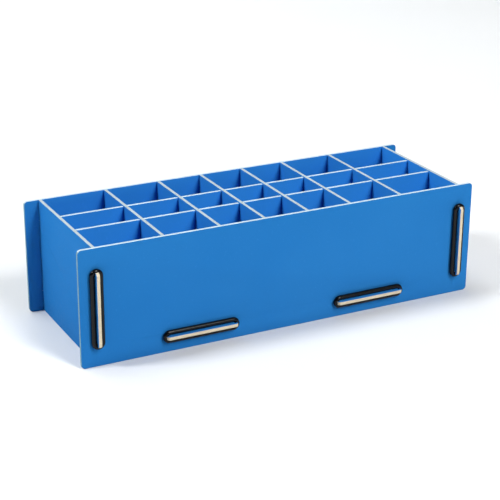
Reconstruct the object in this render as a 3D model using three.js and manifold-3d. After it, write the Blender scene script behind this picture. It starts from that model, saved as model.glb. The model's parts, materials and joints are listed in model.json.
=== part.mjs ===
// Slot-together test tube rack: a box of five boards held by stretched rubber rings,
// with a loose insert of half-lapped dividers that splits it into three rows of seven cells.
//
// Frame: millimetres, +X along the rack, +Y towards its back, +Z up.
// The origin is the middle of the footprint, on the surface that the rack stands on.

import * as THREE from 'three';
import { mergeVertices } from 'three/addons/utils/BufferGeometryUtils.js';
import Module from 'manifold-3d';

const wasm = await Module();
wasm.setup();

// Driving dimensions

const LENGTH = 330;             // front and back panels, end to end
const HEIGHT = 90.7;            // all four walls
const INSIDE_DEPTH = 109;       // between the front and back panels
const BOARD = 2.5;              // thickness of every board
const PANEL_CORNER_RADIUS = 3;  // on the front and back panels
const END_INSET = 11.4;         // how far the front and back panels pass the end panels
const FLOOR_HEIGHT = 12.8;      // middle of the bottom panel's thickness, above the table

const CROSS_DIVIDERS = [-99.4, -54.7, -18.1, 18.1, 54.7, 99.4];  // middles, along X
const LENGTH_DIVIDERS = [-15.6, 15.6];                           // middles, along Y
const LENGTH_DIVIDER_DROP = 0.8;  // their top edges lie this far below the rim

const TAB_LENGTH = 57.5;        // along the slot
const TAB_REACH = 6.2;          // past the panel's outer face
const TAB_CORNER_RADIUS = 2.4;
const END_TAB_HEIGHT = 45.1;    // middles of the end panels' tabs, above the table
const FLOOR_TAB_OFFSET = 71.5;  // middles of the bottom panel's tabs, either side of the centre
const NOTCH_DEPTH = 2.5;        // the ring's seat, cut into each end of a tab
const NOTCH_WIDTH = 3.8;        // along the tab's reach

const RING_SECTION = 3.7;       // diameter of the rubber
const RING_STAND_OFF = 0.05;    // from the panel's outer face

const SLOT_CLEARANCE = 0.15;    // on each side of a tab, or of a board in a half-lap
const BUTT_GAP = 0.1;           // where one board's edge meets another's face
const INSERT_GAP = 0.3;         // round the loose dividers

// Places that follow from them

const OUTER_FACE = INSIDE_DEPTH / 2 + BOARD;
const PANEL_MIDDLE = INSIDE_DEPTH / 2 + BOARD / 2;
const END_MIDDLE = LENGTH / 2 - END_INSET - BOARD / 2;
const INSIDE_END = END_MIDDLE - BOARD / 2;
const INSERT_BOTTOM = FLOOR_HEIGHT + BOARD / 2 + INSERT_GAP;
const LENGTH_DIVIDER_TOP = HEIGHT - LENGTH_DIVIDER_DROP;
const HALF_LAP = (INSERT_BOTTOM + LENGTH_DIVIDER_TOP) / 2;
const HALF_LAP_SLOT = BOARD + 2 * SLOT_CLEARANCE;

const ARC_STEPS = 6;            // to a quarter circle
const RING_SIDES = 12;
const RING_STEPS = 28;

const BOARD_FINISH = { color: 0x2878bc, roughness: 0.55, metalness: 0 };
const DIVIDER_FINISH = { color: 0x2a6fc4, roughness: 0.6, metalness: 0 };
const RUBBER_FINISH = { color: 0x17181b, roughness: 0.45, metalness: 0 };

// Turns that stand up a flat shape: FACING_FRONT puts its x and y along X and Z, FACING_SIDE
// along Y and Z, and FRONT_UPRIGHT along Z and X.
const LYING_FLAT = [0, 0, 0];
const FACING_FRONT = [Math.PI / 2, 0, 0];
const FACING_SIDE = [Math.PI / 2, Math.PI / 2, 0];
const FRONT_UPRIGHT = [-Math.PI / 2, 0, -Math.PI / 2];

const rack = new THREE.Group();

function add(name, geometry, finish, position, turn) {
  const mesh = new THREE.Mesh(geometry, new THREE.MeshStandardMaterial(finish));
  mesh.name = name;
  mesh.position.set(...position);
  mesh.rotation.set(...turn);
  rack.add(mesh);
}

function board(outline) {
  const settings = { depth: BOARD, bevelEnabled: false, curveSegments: ARC_STEPS };
  return new THREE.ExtrudeGeometry(outline, settings).translate(0, 0, -BOARD / 2);
}

function solidOf(geometry) {
  const bare = geometry.clone();
  bare.deleteAttribute('normal');
  bare.deleteAttribute('uv');
  const merged = mergeVertices(bare);
  const vertProperties = merged.attributes.position.array;
  return new wasm.Manifold(new wasm.Mesh({ numProp: 3, vertProperties, triVerts: merged.index.array }));
}

function cutAway(geometry, cutters) {
  const left = cutters.reduce((solid, cutter) => solid.subtract(solidOf(cutter)), solidOf(geometry));
  const { vertProperties, triVerts } = left.getMesh();
  const result = new THREE.BufferGeometry();
  result.setAttribute('position', new THREE.BufferAttribute(vertProperties, 3));
  result.setIndex(new THREE.BufferAttribute(triVerts, 1));
  const faceted = result.toNonIndexed();
  faceted.computeVertexNormals();
  return faceted;
}

// Front and back panels: rounded rectangles with a slot for each tab

function roundedRectangle(width, low, high, radius) {
  const right = width / 2;
  const shape = new THREE.Shape();
  shape.absarc(right - radius, low + radius, radius, -Math.PI / 2, 0);
  shape.absarc(right - radius, high - radius, radius, 0, Math.PI / 2);
  shape.absarc(-right + radius, high - radius, radius, Math.PI / 2, Math.PI);
  shape.absarc(-right + radius, low + radius, radius, Math.PI, Math.PI * 1.5);
  return shape;
}

function slotCutter(x, z, width, height) {
  const wide = width + 2 * SLOT_CLEARANCE;
  const high = height + 2 * SLOT_CLEARANCE;
  return new THREE.BoxGeometry(wide, high, 2 * BOARD).translate(x, z, 0);
}

function facePanel() {
  const cutters = [-1, 1].flatMap((side) => [
    slotCutter(side * END_MIDDLE, END_TAB_HEIGHT, BOARD, TAB_LENGTH),
    slotCutter(side * FLOOR_TAB_OFFSET, FLOOR_HEIGHT, TAB_LENGTH, BOARD),
  ]);
  return cutAway(board(roundedRectangle(LENGTH, 0, HEIGHT, PANEL_CORNER_RADIUS)), cutters);
}

// A tab goes through its slot, narrows where the ring sits, and ends in a round-cornered head.
// The outline runs counter-clockwise, so outwards is to the right of the way it travels.

function drawTab(shape, middle, along) {
  const out = new THREE.Vector2(along.y, -along.x);
  const shoulder = BOARD + BUTT_GAP;
  const neck = shoulder + NOTCH_WIDTH;
  const tip = shoulder + TAB_REACH;
  const half = TAB_LENGTH / 2;
  const profile = [[half, 0], [half, shoulder], [half - NOTCH_DEPTH, shoulder], [half - NOTCH_DEPTH, neck]];
  profile.push([half, neck]);
  for (let step = 0; step <= ARC_STEPS; step += 1) {
    const angle = (step / ARC_STEPS) * (Math.PI / 2);
    const across = half - TAB_CORNER_RADIUS * (1 - Math.cos(angle));
    profile.push([across, tip - TAB_CORNER_RADIUS * (1 - Math.sin(angle))]);
  }
  const firstHalf = profile.map(([across, reach]) => [-across, reach]);
  for (const [across, reach] of [...firstHalf, ...profile.reverse()]) {
    const point = middle.clone().addScaledVector(along, across).addScaledVector(out, reach);
    shape.lineTo(point.x, point.y);
  }
}

// End and bottom panels: plain rectangles, with tabs along the two edges that meet the face panels

function endPanel() {
  const edge = INSIDE_DEPTH / 2 - BUTT_GAP;
  const shape = new THREE.Shape();
  shape.moveTo(-edge, 0);
  shape.lineTo(edge, 0);
  drawTab(shape, new THREE.Vector2(edge, END_TAB_HEIGHT), new THREE.Vector2(0, 1));
  shape.lineTo(edge, HEIGHT);
  shape.lineTo(-edge, HEIGHT);
  drawTab(shape, new THREE.Vector2(-edge, END_TAB_HEIGHT), new THREE.Vector2(0, -1));
  return board(shape);
}

function bottomPanel() {
  const side = INSIDE_END - BUTT_GAP;
  const edge = INSIDE_DEPTH / 2 - BUTT_GAP;
  const shape = new THREE.Shape();
  shape.moveTo(-side, -edge);
  drawTab(shape, new THREE.Vector2(-FLOOR_TAB_OFFSET, -edge), new THREE.Vector2(1, 0));
  drawTab(shape, new THREE.Vector2(FLOOR_TAB_OFFSET, -edge), new THREE.Vector2(1, 0));
  shape.lineTo(side, -edge);
  shape.lineTo(side, edge);
  drawTab(shape, new THREE.Vector2(FLOOR_TAB_OFFSET, edge), new THREE.Vector2(-1, 0));
  drawTab(shape, new THREE.Vector2(-FLOOR_TAB_OFFSET, edge), new THREE.Vector2(-1, 0));
  shape.lineTo(-side, edge);
  return board(shape);
}

// Dividers: cross dividers have half-lap slots open at the bottom, lengthwise ones at the top,
// so each cross divider drops over both lengthwise ones

function comb(length, top, slotMiddles, opensAtTop) {
  const end = length / 2;
  const slotEnd = HALF_LAP + (opensAtTop ? -SLOT_CLEARANCE : SLOT_CLEARANCE);
  const mouth = opensAtTop ? top : INSERT_BOTTOM;
  const cuts = slotMiddles.flatMap((middle) => [
    [middle - HALF_LAP_SLOT / 2, mouth],
    [middle - HALF_LAP_SLOT / 2, slotEnd],
    [middle + HALF_LAP_SLOT / 2, slotEnd],
    [middle + HALF_LAP_SLOT / 2, mouth],
  ]);
  const bottomEdge = opensAtTop ? [] : cuts;
  const topEdge = opensAtTop ? cuts.reverse() : [];
  const bottom = [[-end, INSERT_BOTTOM], ...bottomEdge, [end, INSERT_BOTTOM]];
  const points = [...bottom, [end, top], ...topEdge, [-end, top]];
  return board(new THREE.Shape(points.map(([across, up]) => new THREE.Vector2(across, up))));
}

// A rubber ring pulled over a tab: a torus whose two halves are drawn apart along X.
// Its hollow takes the board's thickness, and its ends seat in the tab's notches.

function stretchedRing() {
  const section = RING_SECTION / 2;
  const seat = TAB_LENGTH / 2 - NOTCH_DEPTH;
  const bend = BOARD / 2 + section + SLOT_CLEARANCE;
  const hollow = bend - section;
  const stretch = seat - Math.sqrt(hollow ** 2 - (BOARD / 2) ** 2) + SLOT_CLEARANCE;
  const geometry = new THREE.TorusGeometry(bend, section, RING_SIDES, RING_STEPS);
  const places = geometry.attributes.position;
  const middleOfStrand = 0.001;
  for (let i = 0; i < places.count; i += 1) {
    const x = places.getX(i);
    if (Math.abs(x) > middleOfStrand) places.setX(i, x + Math.sign(x) * stretch);
  }
  return geometry;
}

// Assembly

add('front_panel', facePanel(), BOARD_FINISH, [0, -PANEL_MIDDLE, 0], FACING_FRONT);
add('back_panel', facePanel(), BOARD_FINISH, [0, PANEL_MIDDLE, 0], FACING_FRONT);
add('left_end_panel', endPanel(), BOARD_FINISH, [-END_MIDDLE, 0, 0], FACING_SIDE);
add('right_end_panel', endPanel(), BOARD_FINISH, [END_MIDDLE, 0, 0], FACING_SIDE);
add('bottom_panel', bottomPanel(), BOARD_FINISH, [0, 0, FLOOR_HEIGHT], LYING_FLAT);

const lengthDividerLength = 2 * (INSIDE_END - INSERT_GAP);
const crossDividerLength = INSIDE_DEPTH - 2 * INSERT_GAP;

LENGTH_DIVIDERS.forEach((y, i) => {
  const name = ['length_divider_front', 'length_divider_back'][i];
  const geometry = comb(lengthDividerLength, LENGTH_DIVIDER_TOP, CROSS_DIVIDERS, true);
  add(name, geometry, DIVIDER_FINISH, [0, y, 0], FACING_FRONT);
});

CROSS_DIVIDERS.forEach((x, i) => {
  const geometry = comb(crossDividerLength, HEIGHT, LENGTH_DIVIDERS, false);
  add(`cross_divider_${i + 1}`, geometry, DIVIDER_FINISH, [x, 0, 0], FACING_SIDE);
});

const ringReach = OUTER_FACE + RING_STAND_OFF + RING_SECTION / 2;
for (const [face, toFace] of [['front', -1], ['back', 1]]) {
  for (const [end, toEnd] of [['left', -1], ['right', 1]]) {
    const y = toFace * ringReach;
    const endPlace = [toEnd * END_MIDDLE, y, END_TAB_HEIGHT];
    const floorPlace = [toEnd * FLOOR_TAB_OFFSET, y, FLOOR_HEIGHT];
    add(`ring_${face}_${end}_end`, stretchedRing(), RUBBER_FINISH, endPlace, FRONT_UPRIGHT);
    add(`ring_${face}_${end}_floor`, stretchedRing(), RUBBER_FINISH, floorPlace, FACING_FRONT);
  }
}

export default rack;
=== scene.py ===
import json
import math

import bmesh
import bpy
from mathutils import Matrix, Vector


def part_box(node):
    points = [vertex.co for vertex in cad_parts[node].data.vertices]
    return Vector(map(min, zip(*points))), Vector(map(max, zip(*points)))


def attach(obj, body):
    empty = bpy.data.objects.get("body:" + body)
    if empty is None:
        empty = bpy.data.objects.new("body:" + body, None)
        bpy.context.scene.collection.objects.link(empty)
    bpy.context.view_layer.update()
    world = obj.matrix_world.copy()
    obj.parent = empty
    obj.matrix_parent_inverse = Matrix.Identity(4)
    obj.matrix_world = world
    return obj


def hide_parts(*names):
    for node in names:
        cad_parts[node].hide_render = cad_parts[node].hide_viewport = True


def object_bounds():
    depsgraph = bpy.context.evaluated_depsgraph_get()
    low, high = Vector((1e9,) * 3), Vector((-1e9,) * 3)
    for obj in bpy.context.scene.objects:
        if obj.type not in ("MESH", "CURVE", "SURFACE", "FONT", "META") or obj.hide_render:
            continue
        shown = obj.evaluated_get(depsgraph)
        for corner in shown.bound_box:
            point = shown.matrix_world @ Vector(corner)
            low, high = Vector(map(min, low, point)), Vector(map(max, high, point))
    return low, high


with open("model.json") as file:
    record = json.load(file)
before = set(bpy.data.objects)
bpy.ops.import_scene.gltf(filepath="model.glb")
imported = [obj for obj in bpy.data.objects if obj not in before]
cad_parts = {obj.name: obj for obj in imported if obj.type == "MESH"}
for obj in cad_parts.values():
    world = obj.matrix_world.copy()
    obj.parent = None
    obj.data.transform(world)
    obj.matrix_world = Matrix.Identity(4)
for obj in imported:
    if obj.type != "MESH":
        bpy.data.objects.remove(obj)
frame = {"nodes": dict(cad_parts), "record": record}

CAD_BOX = [list(corner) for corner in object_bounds()]

# Lengths are in metres, in the frame's own axes: +X along the rack, +Y to its back, +Z up.

MM = 0.001

# The viewpoint: the camera looks at a point near the rack's middle from its front left.
VIEW_AZIMUTH = math.radians(-27.26)
VIEW_ELEVATION = math.radians(21.62)
VIEW_ROLL = math.radians(0.38)
VIEW_DISTANCE = 1.1046
VIEW_TARGET = Vector((-0.0148, -0.0255, 0.0542))
SENSOR_WIDTH = 36.0
LENS = 104.7
CLIP_START = 0.01

# Boards
ARRIS = 0.18 * MM                      # the eased edge of every board
ARRIS_SEGMENTS = 2
WELD_DISTANCE = 0.002 * MM
FLAT_ANGLE = math.radians(0.5)         # faces closer in angle than this are one flat face
SMOOTH_ANGLE = math.radians(28)        # edges sharper than this are eased, and others are shaded smooth
FACING_LIMIT = 0.9                     # how squarely a face must look along the board's thickness to be blue
SIDEWAYS_LIMIT = 0.8                   # how squarely a cut edge must look left or right to be a side edge
RACK_TOP = CAD_BOX[1][2]
# The rim's top edges are painted paler and bluer than the other cut edges, as painted light from above.
RIM_HEIGHT = RACK_TOP - 7 * MM         # cut edges above this are the rim
BOX_MIDDLE = Vector((0, 0, RACK_TOP / 2))
END_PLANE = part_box("right_end_panel")[0].x
END_MARGIN = 3 * MM                    # past the end panels' inner faces, to take in those faces themselves

# Which way each board's thickness runs: 0 along X, 1 along Y, 2 along Z.
BOARD_AXES = {
    "front_panel": 1,
    "back_panel": 1,
    "left_end_panel": 0,
    "right_end_panel": 0,
    "bottom_panel": 2,
    "length_divider_front": 1,
    "length_divider_back": 1,
}
BOARD_AXES.update({f"cross_divider_{i}": 0 for i in range(1, 7)})

# A board's materials, by index
OUTSIDE, INSIDE, RAW_EDGE, RIM, SIDE_EDGE = range(5)

# Rubber rings
RING_SIDES = 20
BEND_STEPS = 22                        # round each end of a ring
STRAND_STEPS = 14                      # along each straight side

# The studio: a paper sweep, lit from around, in a room that is dimmer at the rack's front left.
FLOOR_HALF_WIDTH = 12.0
FLOOR_FRONT = -12.0
SWEEP_BACK = 5.0
SWEEP_RADIUS = 2.0
SWEEP_TOP = 5.0
SWEEP_STEPS = 16
GLOW = 0.8                             # of the paper where the lights don't reach it
GLOW_START = 1.3                       # the distances from the rack over which the glow comes up
GLOW_END = 3.6
GLOW_FADE = (0.1, 0.8)                 # the heights over which the glow fades out up the backdrop
SURROUND_COLOUR = (0.96, 0.98, 1.0, 1)
SURROUND = 0.18                        # the strength of the light from all around
SURROUND_DIM = 0.02                    # and its strength from the dim corner
DIM_CORNER = (-0.75, -0.66, 0.0)       # the way from the rack to the dim corner
DIM_REACH = 0.6                        # how far towards the dim corner the surround is at its dimmest
LIGHT_TARGET = (0.0, 0.0, 0.05)


def body_of(node):
    """The CAD body that a node belongs to."""
    groups = frame["record"]["behaviour"]["bodies"]
    return next(body for body, members in groups.items() if node in members)


def slot_of(node):
    """The record's material slot of a node."""
    return next(part["material_slot"] for part in frame["record"]["subparts"] if part["node"] == node)


# Node helpers


class Graph:
    """A material's node tree, with short calls for the nodes that the finishes share."""

    def __init__(self, name):
        self.material = bpy.data.materials.new(name)
        self.material.use_nodes = True
        self.tree = self.material.node_tree
        self.shader = self.tree.nodes["Principled BSDF"]
        self.place = self.add("ShaderNodeTexCoord").outputs["Object"]

    def add(self, kind, links=(), **settings):
        node = self.tree.nodes.new(kind)
        for name, value in settings.items():
            setattr(node, name, value)
        for socket, value in dict(links).items():
            self.put(value, node.inputs[socket])
        return node

    def put(self, value, socket):
        if isinstance(value, bpy.types.NodeSocket):
            self.tree.links.new(value, socket)
        else:
            socket.default_value = value

    def stretched(self, scale):
        """The object's own coordinates, scaled along each axis."""
        return self.add("ShaderNodeMapping", {"Vector": self.place, "Scale": scale}).outputs["Vector"]

    def noise(self, scale, detail=3.0, roughness=0.55, vector=None):
        links = {"Vector": vector or self.place, "Scale": scale, "Detail": detail, "Roughness": roughness}
        return self.add("ShaderNodeTexNoise", links).outputs["Fac"]

    def spread(self, value, low, high, to_low=0.0, to_high=1.0):
        """Maps the stretch from low to high onto to_low to to_high, and holds it there outside."""
        links = {"Value": value, "From Min": low, "From Max": high, "To Min": to_low, "To Max": to_high}
        return self.add("ShaderNodeMapRange", links).outputs["Result"]

    def mix(self, factor, a, b, blend="MIX"):
        node = self.add("ShaderNodeMix", data_type="RGBA", blend_type=blend)
        self.put(factor, node.inputs[0])
        self.put(a, node.inputs[6])
        self.put(b, node.inputs[7])
        return node.outputs[2]

    def product(self, a, b):
        node = self.add("ShaderNodeMath", operation="MULTIPLY")
        self.put(a, node.inputs[0])
        self.put(b, node.inputs[1])
        return node.outputs[0]

    def bump(self, height, distance, strength, normal=None):
        node = self.add("ShaderNodeBump", {"Height": height, "Distance": distance, "Strength": strength})
        if normal:
            self.put(normal, node.inputs["Normal"])
        return node.outputs["Normal"]

    def set(self, **values):
        """Sets the shader's own sockets, named with _ for each space: a number, a colour or a link."""
        for name, value in values.items():
            self.put(value, self.shader.inputs[name.replace("_", " ")])


# Finishes

PANEL_BLUE = (0.022, 0.182, 0.488, 1)
PANEL_DEEP = (0.018, 0.168, 0.470, 1)
# Inside the box the blue is painted brighter and more vivid than outside: painted light standing in for the
# light in the cells.
INSIDE_BLUE_PAINTED_LIT = (0.028, 0.234, 0.650, 1)
INSIDE_DEEP_PAINTED_LIT = (0.024, 0.218, 0.628, 1)
PANEL_GLOSS = 0.008
INSIDE_GLOSS = 0.03
SPECK_STRENGTH = 0.22
SPECK_GAIN = 1.35
SPECK_LIFT = 0.012
EDGE_CREAM = (0.76, 0.67, 0.51, 1)
EDGE_FIBRE = (0.64, 0.54, 0.37, 1)
FIBRE_FLATNESS = 4.0          # how much finer the fibres are across the board than along it
# Rim colours: paler and bluer than the other cut edges, as painted light from above on the top edges.
CROSS_RIM_PAINTED_LIGHT_PALE = (0.44, 0.54, 0.60, 1)
CROSS_RIM_PAINTED_LIGHT_FIBRE = (0.39, 0.44, 0.44, 1)
LONG_RIM_PAINTED_LIGHT_PALE = (0.53, 0.70, 0.79, 1)
LONG_RIM_PAINTED_LIGHT_FIBRE = (0.46, 0.56, 0.59, 1)
# The long boards' side edges are a darker blue-grey, not cream.
BLUE_GREY_SIDE_PALE = (0.25, 0.39, 0.42, 1)
BLUE_GREY_SIDE_DEEP = (0.13, 0.27, 0.35, 1)
RUBBER_BLACK = (0.0010, 0.0010, 0.0014, 1)
RUBBER_BLOOM = (0.0040, 0.0041, 0.0046, 1)
PAPER_GREY = (0.77, 0.77, 0.77, 1)
PAPER_PALE = (0.79, 0.79, 0.79, 1)


def blue_facing(name, colour, deep, gloss):
    """Satin blue foil on fibreboard: a faint orange peel, fine specks and slow changes of tone."""
    graph = Graph(name)
    slow = graph.noise(scale=9.0, detail=2.0)
    fine = graph.noise(scale=420.0, detail=4.0, roughness=0.6)
    peel = graph.noise(scale=1500.0, detail=2.0)
    tone = graph.mix(graph.spread(slow, 0.35, 0.68), deep, colour)
    specks = graph.spread(fine, 0.60, 0.74, to_high=SPECK_STRENGTH)
    pale = [channel * SPECK_GAIN + SPECK_LIFT for channel in colour[:3]] + [1.0]
    normal = graph.bump(peel, distance=0.012 * MM, strength=0.6)
    graph.set(
        Base_Color=graph.mix(specks, tone, pale),
        Roughness=graph.spread(fine, 0.3, 0.7, to_low=0.44, to_high=0.58),
        Specular_IOR_Level=gloss,
        Normal=graph.bump(slow, distance=0.2 * MM, strength=0.25, normal=normal),
    )
    return graph.material


def raw_edge(name, colour, fibre, axis):
    """A cut fibreboard edge: matt and fibrous, with fibres flattened along the board and soft clumps."""
    graph = Graph(name)
    flattened = [1.0, 1.0, 1.0]
    flattened[axis] = FIBRE_FLATNESS
    fibres = graph.noise(scale=700.0, detail=5.0, roughness=0.7, vector=graph.stretched(flattened))
    clumps = graph.noise(scale=120.0, detail=3.0, roughness=0.6)
    tone = graph.mix(graph.spread(fibres, 0.38, 0.66), fibre, colour)
    shade = graph.spread(clumps, 0.3, 0.7, to_low=0.90, to_high=1.0)
    grey = graph.add("ShaderNodeCombineColor", {"Red": shade, "Green": shade, "Blue": shade})
    graph.set(
        Base_Color=graph.mix(1.0, tone, grey.outputs["Color"], "MULTIPLY"),
        Roughness=0.85,
        Specular_IOR_Level=0.25,
        Normal=graph.bump(fibres, distance=0.06 * MM, strength=0.8),
    )
    return graph.material


def black_rubber():
    """Moulded rubber: near black, softly shiny, with a dusty bloom."""
    graph = Graph("black_rubber")
    bloom = graph.noise(scale=260.0, detail=4.0, roughness=0.6)
    grain = graph.noise(scale=1800.0, detail=2.0)
    graph.set(
        Base_Color=graph.mix(graph.spread(bloom, 0.45, 0.75), RUBBER_BLACK, RUBBER_BLOOM),
        Roughness=graph.spread(bloom, 0.3, 0.7, to_low=0.17, to_high=0.27),
        Specular_IOR_Level=0.24,
        Normal=graph.bump(grain, distance=0.01 * MM, strength=0.5),
    )
    return graph.material


def studio_paper():
    """Pale matt paper, which glows a little far from the rack, where the lights don't reach it."""
    graph = Graph("studio_paper")
    height = graph.add("ShaderNodeSeparateXYZ", {"Vector": graph.place}).outputs["Z"]
    over_floor = {"Vector": graph.stretched((1, 1, 0))}
    distance = graph.add("ShaderNodeVectorMath", over_floor, operation="LENGTH").outputs["Value"]
    glow = graph.spread(distance, GLOW_START, GLOW_END, to_high=GLOW)
    graph.set(
        Base_Color=graph.mix(graph.noise(scale=3.0), PAPER_GREY, PAPER_PALE),
        Roughness=0.9,
        Specular_IOR_Level=0.1,
        Emission_Color=(1, 1, 1, 1),
        Emission_Strength=graph.product(glow, graph.spread(height, *GLOW_FADE, to_low=1.0, to_high=0.0)),
    )
    return graph.material


OUTSIDE_FACING = blue_facing("outside_facing", PANEL_BLUE, PANEL_DEEP, PANEL_GLOSS)
# The inside finish is the same foil, painted brighter as light in the box.
INSIDE_FACING_PAINTED_LIT = blue_facing("inside_facing_painted_lit", INSIDE_BLUE_PAINTED_LIT, INSIDE_DEEP_PAINTED_LIT, INSIDE_GLOSS)
EDGES = [raw_edge(f"raw_edge_{letter}", EDGE_CREAM, EDGE_FIBRE, axis) for axis, letter in enumerate("xyz")]
# The rims are painted paler and bluer than the other cut edges, as painted light from above.
CROSS_RIM_PAINTED_LIGHT = raw_edge("cross_rim_painted_light", CROSS_RIM_PAINTED_LIGHT_PALE, CROSS_RIM_PAINTED_LIGHT_FIBRE, axis=0)
LONG_RIM_PAINTED_LIGHT = raw_edge("long_rim_painted_light", LONG_RIM_PAINTED_LIGHT_PALE, LONG_RIM_PAINTED_LIGHT_FIBRE, axis=1)
RIM_EDGES_PAINTED_LIGHT = [CROSS_RIM_PAINTED_LIGHT, LONG_RIM_PAINTED_LIGHT, EDGES[2]]
# Side edges of the long boards: a darker blue-grey rather than cream.
BLUE_GREY_SIDE_EDGE = raw_edge("blue_grey_side_edge", BLUE_GREY_SIDE_PALE, BLUE_GREY_SIDE_DEEP, axis=1)
RUBBER = black_rubber()


# Pieces


def link(name, mesh):
    piece = bpy.data.objects.new(name, mesh)
    bpy.context.scene.collection.objects.link(piece)
    return piece


def eased_copy(node):
    """The CAD board's own outline as clean flat faces, with every sharp edge eased.

    A board that faces front and back is also scored at the end panels, so that the part of a long
    panel between them can have its own finish, the inside blue that is painted brighter as light in the box.
    """
    form = bmesh.new()
    form.from_mesh(frame["nodes"][node].data)
    bmesh.ops.remove_doubles(form, verts=form.verts, dist=WELD_DISTANCE)
    bmesh.ops.dissolve_limit(form, angle_limit=FLAT_ANGLE, verts=form.verts, edges=form.edges)
    sharp = [edge for edge in form.edges if edge.is_manifold and edge.calc_face_angle() > SMOOTH_ANGLE]
    bmesh.ops.bevel(form, geom=sharp, offset=ARRIS, offset_type="OFFSET", segments=ARRIS_SEGMENTS,
                    profile=0.5, affect="EDGES", clamp_overlap=True)
    if BOARD_AXES[node] == 1:
        for side in (-1, 1):
            geometry = form.verts[:] + form.edges[:] + form.faces[:]
            score = (side * END_PLANE, 0, 0)
            bmesh.ops.bisect_plane(form, geom=geometry, plane_co=score, plane_no=(1, 0, 0))
    form.normal_update()
    mesh = bpy.data.meshes.new(node + "_board")
    form.to_mesh(mesh)
    form.free()
    return mesh


def is_inside(face, to_middle):
    """Whether a broad face looks into the box; to_middle points from its panel to the box's middle."""
    return face.normal.dot(to_middle) > 0 and abs(face.center.x) <= END_PLANE + END_MARGIN


def finish_of(face, axis, is_divider, to_middle):
    """A board's finish on one of its faces, as an index into its materials."""
    if abs(face.normal[axis]) > FACING_LIMIT:
        # Faces inside the box take the blue that is painted brighter, as painted light.
        return INSIDE if is_divider or is_inside(face, to_middle) else OUTSIDE
    if axis == 1 and abs(face.normal.x) > SIDEWAYS_LIMIT:
        return SIDE_EDGE
    return RIM if axis != 2 and face.center.z > RIM_HEIGHT else RAW_EDGE


def finish_piece(piece, node):
    """Makes a finished piece stand for its CAD node and move with that node's body."""
    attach(piece, body_of(node))
    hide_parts(node)


def make_board(node):
    """A board: blue on its two broad faces, painted brighter inside the box as painted light, and fibrous on
    its cut edges, which are painted paler along the rim as light from above.
    """
    axis = BOARD_AXES[node]
    mesh = eased_copy(node)
    for finish in (OUTSIDE_FACING, INSIDE_FACING_PAINTED_LIT, EDGES[axis], RIM_EDGES_PAINTED_LIGHT[axis], BLUE_GREY_SIDE_EDGE):
        mesh.materials.append(finish)
    low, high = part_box(node)
    to_middle = BOX_MIDDLE - (low + high) / 2
    is_divider = slot_of(node) == "divider_board"
    for face in mesh.polygons:
        face.material_index = finish_of(face, axis, is_divider, to_middle)
        face.use_smooth = True
    mesh.set_sharp_from_angle(angle=SMOOTH_ANGLE)
    finish_piece(link(node + "_board", mesh), node)


def ring_path(low, high, radius):
    """The middle line of a ring that fills a box: its places, each with the way outwards there."""
    size = high - low
    along, across = (0, 2) if size.x > size.z else (2, 0)
    to_along = Vector([float(i == along) for i in range(3)])
    to_across = Vector([float(i == across) for i in range(3)])
    bend = size[across] / 2 - radius
    half_length = size[along] / 2 - radius - bend
    centre = (low + high) / 2
    path = []
    for side in (1, -1):
        for step in range(BEND_STEPS + 1):
            angle = side * (-math.pi / 2 + math.pi * step / BEND_STEPS)
            outward = to_along * (side * math.cos(angle)) + to_across * math.sin(angle)
            path.append((centre + to_along * side * half_length + outward * bend, outward))
        for step in range(1, STRAND_STEPS):
            share = 1 - 2 * step / STRAND_STEPS
            outward = to_across * side
            path.append((centre + to_along * side * half_length * share + outward * bend, outward))
    return path


def make_ring(node):
    """A rubber ring pulled over a tab: two straight strands joined by round ends."""
    low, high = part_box(node)
    radius = (high.y - low.y) / 2
    form = bmesh.new()
    loops = []
    for place, outward in ring_path(low, high, radius):
        loop = []
        for k in range(RING_SIDES):
            angle = 2 * math.pi * k / RING_SIDES
            offset = outward * math.cos(angle) + Vector((0, 1, 0)) * math.sin(angle)
            loop.append(form.verts.new(place + offset * radius))
        loops.append(loop)
    for i, loop in enumerate(loops):
        after = loops[(i + 1) % len(loops)]
        for k in range(RING_SIDES):
            beside = (k + 1) % RING_SIDES
            form.faces.new((loop[k], loop[beside], after[beside], after[k]))
    bmesh.ops.recalc_face_normals(form, faces=form.faces)
    mesh = bpy.data.meshes.new(node + "_rubber")
    form.to_mesh(mesh)
    form.free()
    mesh.materials.append(RUBBER)
    mesh.shade_smooth()
    finish_piece(link(node + "_rubber", mesh), node)


for node in BOARD_AXES:
    make_board(node)
for node in sorted(frame["nodes"]):
    if node.startswith("ring_"):
        make_ring(node)


# Studio


def make_floor():
    """A pale sweep: a floor that curves up into a backdrop far behind the rack."""
    curve_start = SWEEP_BACK - SWEEP_RADIUS
    profile = [(FLOOR_FRONT, 0.0), (curve_start, 0.0)]
    for step in range(1, SWEEP_STEPS + 1):
        angle = math.pi / 2 * step / SWEEP_STEPS
        profile.append((curve_start + SWEEP_RADIUS * math.sin(angle), SWEEP_RADIUS * (1 - math.cos(angle))))
    profile.append((SWEEP_BACK, SWEEP_TOP))
    form = bmesh.new()
    rows = [[form.verts.new((side * FLOOR_HALF_WIDTH, y, z)) for side in (-1, 1)] for y, z in profile]
    for near, far in zip(rows, rows[1:]):
        form.faces.new((near[0], near[1], far[1], far[0]))
    mesh = bpy.data.meshes.new("studio_floor")
    form.to_mesh(mesh)
    form.free()
    mesh.shade_smooth()
    mesh.materials.append(studio_paper())
    link("studio_floor", mesh)


def add_light(name, place, size, power, colour, target=LIGHT_TARGET):
    lamp = bpy.data.lights.new(name, "AREA")
    lamp.shape = "DISK"
    lamp.size = size
    lamp.energy = power
    lamp.color = colour
    item = link(name, lamp)
    item.location = place
    item.rotation_euler = (Vector(target) - Vector(place)).to_track_quat("-Z", "Y").to_euler()


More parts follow.
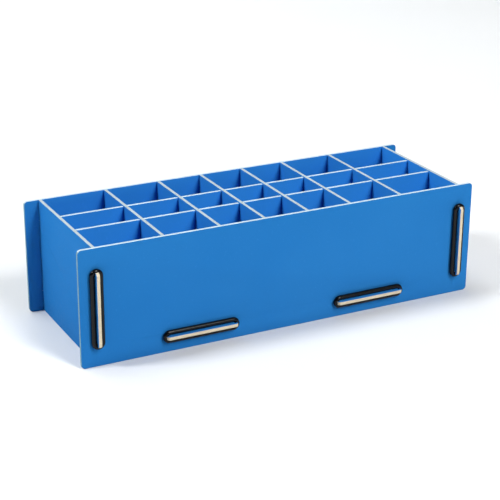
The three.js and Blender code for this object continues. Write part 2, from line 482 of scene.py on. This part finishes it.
def make_world():
    """An even white surround that falls off to a dim corner at the rack's front left."""
    world = bpy.data.worlds.new("studio_world")
    world.use_nodes = True
    nodes = world.node_tree.nodes
    links = world.node_tree.links
    background = nodes["Background"]
    background.inputs["Color"].default_value = SURROUND_COLOUR
    towards_corner = nodes.new("ShaderNodeVectorMath")
    towards_corner.operation = "DOT_PRODUCT"
    towards_corner.inputs[1].default_value = DIM_CORNER
    falloff = nodes.new("ShaderNodeMapRange")
    falloff.inputs["From Min"].default_value = 0.0
    falloff.inputs["From Max"].default_value = DIM_REACH
    falloff.inputs["To Min"].default_value = SURROUND
    falloff.inputs["To Max"].default_value = SURROUND_DIM
    links.new(nodes.new("ShaderNodeTexCoord").outputs["Generated"], towards_corner.inputs[0])
    links.new(towards_corner.outputs["Value"], falloff.inputs["Value"])
    links.new(falloff.outputs["Result"], background.inputs["Strength"])
    bpy.context.scene.world = world


def make_camera():
    """Turns the camera's axes by azimuth, elevation and roll, and backs it off from its target."""
    level_back = Vector((math.sin(VIEW_AZIMUTH), -math.cos(VIEW_AZIMUTH), 0))
    back = level_back * math.cos(VIEW_ELEVATION) + Vector((0, 0, math.sin(VIEW_ELEVATION)))
    right = Vector((math.cos(VIEW_AZIMUTH), math.sin(VIEW_AZIMUTH), 0))
    up = back.cross(right)
    turned_right = right * math.cos(VIEW_ROLL) + up * math.sin(VIEW_ROLL)
    turned_up = up * math.cos(VIEW_ROLL) - right * math.sin(VIEW_ROLL)
    lens = bpy.data.cameras.new("photo_view")
    lens.sensor_width = SENSOR_WIDTH
    lens.lens = LENS
    lens.clip_start = CLIP_START
    camera = link("photo_view", lens)
    turn = Matrix((turned_right, turned_up, back)).transposed().to_4x4()
    camera.matrix_world = Matrix.Translation(VIEW_TARGET + back * VIEW_DISTANCE) @ turn
    bpy.context.scene.camera = camera


make_floor()
make_world()
make_camera()
add_light("key_light", place=(0.80, -2.54, 3.00), size=1.0, power=72.0, colour=(1.0, 1.0, 1.0))
add_light("right_light", place=(0.85, -3.15, 2.10), size=1.3, power=54.0, colour=(1.0, 1.0, 1.0))
add_light("side_light", place=(-2.95, 0.48, 2.66), size=0.9, power=104.0, colour=(0.94, 0.98, 1.0))
add_light("top_light", place=(-0.90, 1.00, 3.60), size=1.4, power=37.0, colour=(0.96, 0.99, 1.0))
add_light("back_light", place=(0.00, 1.60, 1.50), size=1.0, power=11.0, colour=(0.90, 0.96, 1.0),
          target=(0.0, 1.2, 0.0))
bpy.context.scene.view_settings.view_transform = "Standard"
